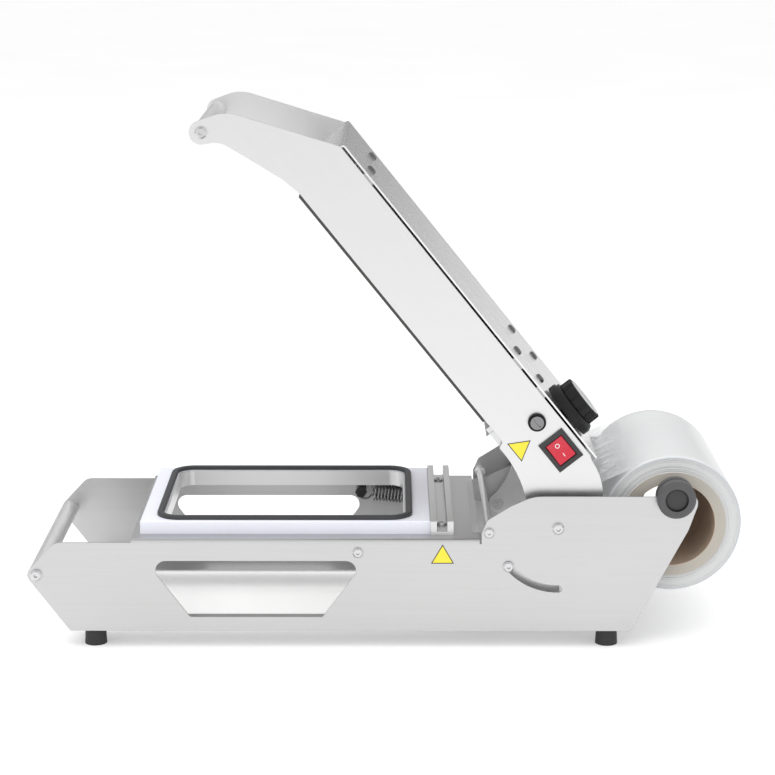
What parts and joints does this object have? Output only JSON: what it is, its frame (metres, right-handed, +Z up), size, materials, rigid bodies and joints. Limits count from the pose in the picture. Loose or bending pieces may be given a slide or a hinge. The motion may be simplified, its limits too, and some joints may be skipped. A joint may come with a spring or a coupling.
{
  "type": "tray sealing machine",
  "caption": "Manual tray sealer: sheet steel base with tray seat, hinged heated lid, cutter, film roll on a shaft, springs that hold the lid open.",
  "frame": {"origin": "centre of the bounding box at the height the rubber feet stand on, lid open", "axes": "+X towards the film roll, the operator stands at -X; +Y to the operator's left; +Z up"},
  "size_m": [0.637, 0.236, 0.4764],
  "materials": {
    "arm_steel": "fine brushed stainless sheet, lighter",
    "bar_steel": "plain mill finish",
    "base_steel": "fine brushed stainless sheet",
    "black_plastic": "black moulding",
    "blade_steel": "ground blade",
    "channel_alloy": "satin aluminium",
    "clear_film": "clear film",
    "core_board": "spiral wound board",
    "deck_steel": "brushed stainless sheet seen flat",
    "foot_rubber": "matt black rubber",
    "gasket_rubber": "matt black silicone",
    "heater_alloy": "dark coated aluminium",
    "insulation": "ceramic fibre blanket",
    "label_yellow": "plain yellow sticker",
    "mica": "mica sheet",
    "polished_tube": "polished stainless tube",
    "ptfe_skin": "coated glass cloth",
    "red_plastic": "glossy translucent red",
    "screw_steel": "bright stainless",
    "silver_insert": "spun disc",
    "spool_plastic": "charcoal moulding",
    "spring_steel": "drawn spring wire",
    "white_ceramic": "glazed terminal block",
    "white_plastic": "cut white polyethylene",
    "wound_film": "milky wound film"
  },
  "bodies": {
    "base": {"side_panel_right": "base_steel", "side_panel_left": "base_steel", "deck_plate": "deck_steel", "rubber_feet": "foot_rubber", "foot_screws": "screw_steel", "front_grip_tube": "polished_tube", "front_grip_screws": "screw_steel", "die_plate": "white_plastic", "die_screws": "screw_steel", "tray_frame": "deck_steel", "tray_gasket": "gasket_rubber", "cutter_channel": "channel_alloy", "channel_screws": "screw_steel", "film_guide_rod": "polished_tube", "guide_screws": "screw_steel", "pivot_screws": "screw_steel", "pivot_spacers": "screw_steel", "spring_anchors": "screw_steel", "base_label": "label_yellow", "film_web": "clear_film"},
    "lid": {"arm_side_right": "arm_steel", "arm_side_left": "arm_steel", "arm_cover": "arm_steel", "cover_screws": "screw_steel", "cross_bars": "bar_steel", "heater_studs": "screw_steel", "heating_plate": "heater_alloy", "ptfe_sheet": "ptfe_skin", "heating_element": "mica", "element_clamp": "bar_steel", "clamp_screws": "screw_steel", "insulation_blanket": "insulation", "thermal_cutout": "black_plastic", "thermostat_body": "black_plastic", "terminal_block": "white_ceramic", "electrics_tray": "bar_steel", "blade_holder": "channel_alloy", "cutting_blade": "blade_steel", "blade_screws": "screw_steel", "arm_grip_tube": "polished_tube", "arm_grip_screws": "screw_steel", "stop_screws": "screw_steel", "pivot_bushes": "black_plastic", "switch_body": "black_plastic", "fuse_holder": "black_plastic", "arm_label": "label_yellow"},
    "thermostat_knob": {"knob_skirt": "black_plastic", "knob_grip": "black_plastic", "knob_insert": "silver_insert"},
    "rocker": {"rocker_cap": "red_plastic"},
    "fuse_carrier": {"fuse_cap": "black_plastic"},
    "film_roll": {"film_winding": "wound_film", "film_core": "core_board"},
    "roll_shaft": {"film_shaft": "polished_tube", "spool_right": "spool_plastic", "spool_left": "spool_plastic"},
    "spring_link_right": {"spring_right": "spring_steel"},
    "spring_link_left": {"spring_left": "spring_steel"},
    "spring_end_right": {"spring_hook_right": "spring_steel"},
    "spring_end_left": {"spring_hook_left": "spring_steel"}
  },
  "joints": [
    {"name": "lid_swing", "type": "hinge", "parent": "base", "child": "lid", "pos_m": [0.15335, 0, 0.111], "axis": [0, -1, 0], "range_deg": [0, 51.2], "stiffness_Nm_per_rad": 6.5, "springref_deg": -63.03, "deforming": ["spring_right", "spring_left", "spring_hook_right", "spring_hook_left"]},
    {"name": "thermostat_turn", "type": "hinge", "parent": "lid", "child": "thermostat_knob", "pos_m": [0.16053, -0.066, 0.2066], "axis": [0.7793, 0, 0.6266], "range_deg": [0, 270]},
    {"name": "rocker_press", "type": "hinge", "parent": "lid", "child": "rocker", "pos_m": [0.15513, -0.096, 0.1798], "axis": [0.7793, 0, 0.6266], "range_deg": [0, 16]},
    {"name": "fuse_cap_turn", "type": "hinge", "parent": "lid", "child": "fuse_carrier", "pos_m": [0.13372, -0.096, 0.20531], "axis": [0, -1, 0], "range_deg": [0, 45]},
    {"name": "film_roll_spin", "type": "hinge", "parent": "base", "child": "film_roll", "pos_m": [0.25645, 0, 0.1099], "axis": [0, -1, 0], "continuous": true},
    {"name": "roll_shaft_spin", "type": "hinge", "parent": "base", "child": "roll_shaft", "pos_m": [0.25645, 0, 0.1396], "axis": [0, -1, 0], "continuous": true},
    {"name": "spring_turn_right", "type": "hinge", "parent": "base", "child": "spring_link_right", "pos_m": [-0.02405, -0.096, 0.0887], "axis": [0, 1, 0], "range_deg": [0, 5.5]},
    {"name": "spring_stretch_right", "type": "slide", "parent": "spring_link_right", "child": "spring_end_right", "axis": [0.9954, 0, -0.0954], "range_m": [0, 0.04675]},
    {"name": "spring_turn_left", "type": "hinge", "parent": "base", "child": "spring_link_left", "pos_m": [-0.02405, 0.096, 0.0887], "axis": [0, 1, 0], "range_deg": [0, 5.5]},
    {"name": "spring_stretch_left", "type": "slide", "parent": "spring_link_left", "child": "spring_end_left", "axis": [0.9954, 0, -0.0954], "range_m": [0, 0.04675]}
  ],
  "couplings": [
    {"joint": "roll_shaft_spin", "follows": "film_roll_spin", "ratio": 4.75},
    {"joint": "spring_turn_right", "follows": "lid_swing", "ratio": 0.10341},
    {"joint": "spring_stretch_right", "follows": "lid_swing", "m_per_rad": 0.051757},
    {"joint": "spring_turn_left", "follows": "lid_swing", "ratio": 0.10341},
    {"joint": "spring_stretch_left", "follows": "lid_swing", "m_per_rad": 0.051757}
  ]
}
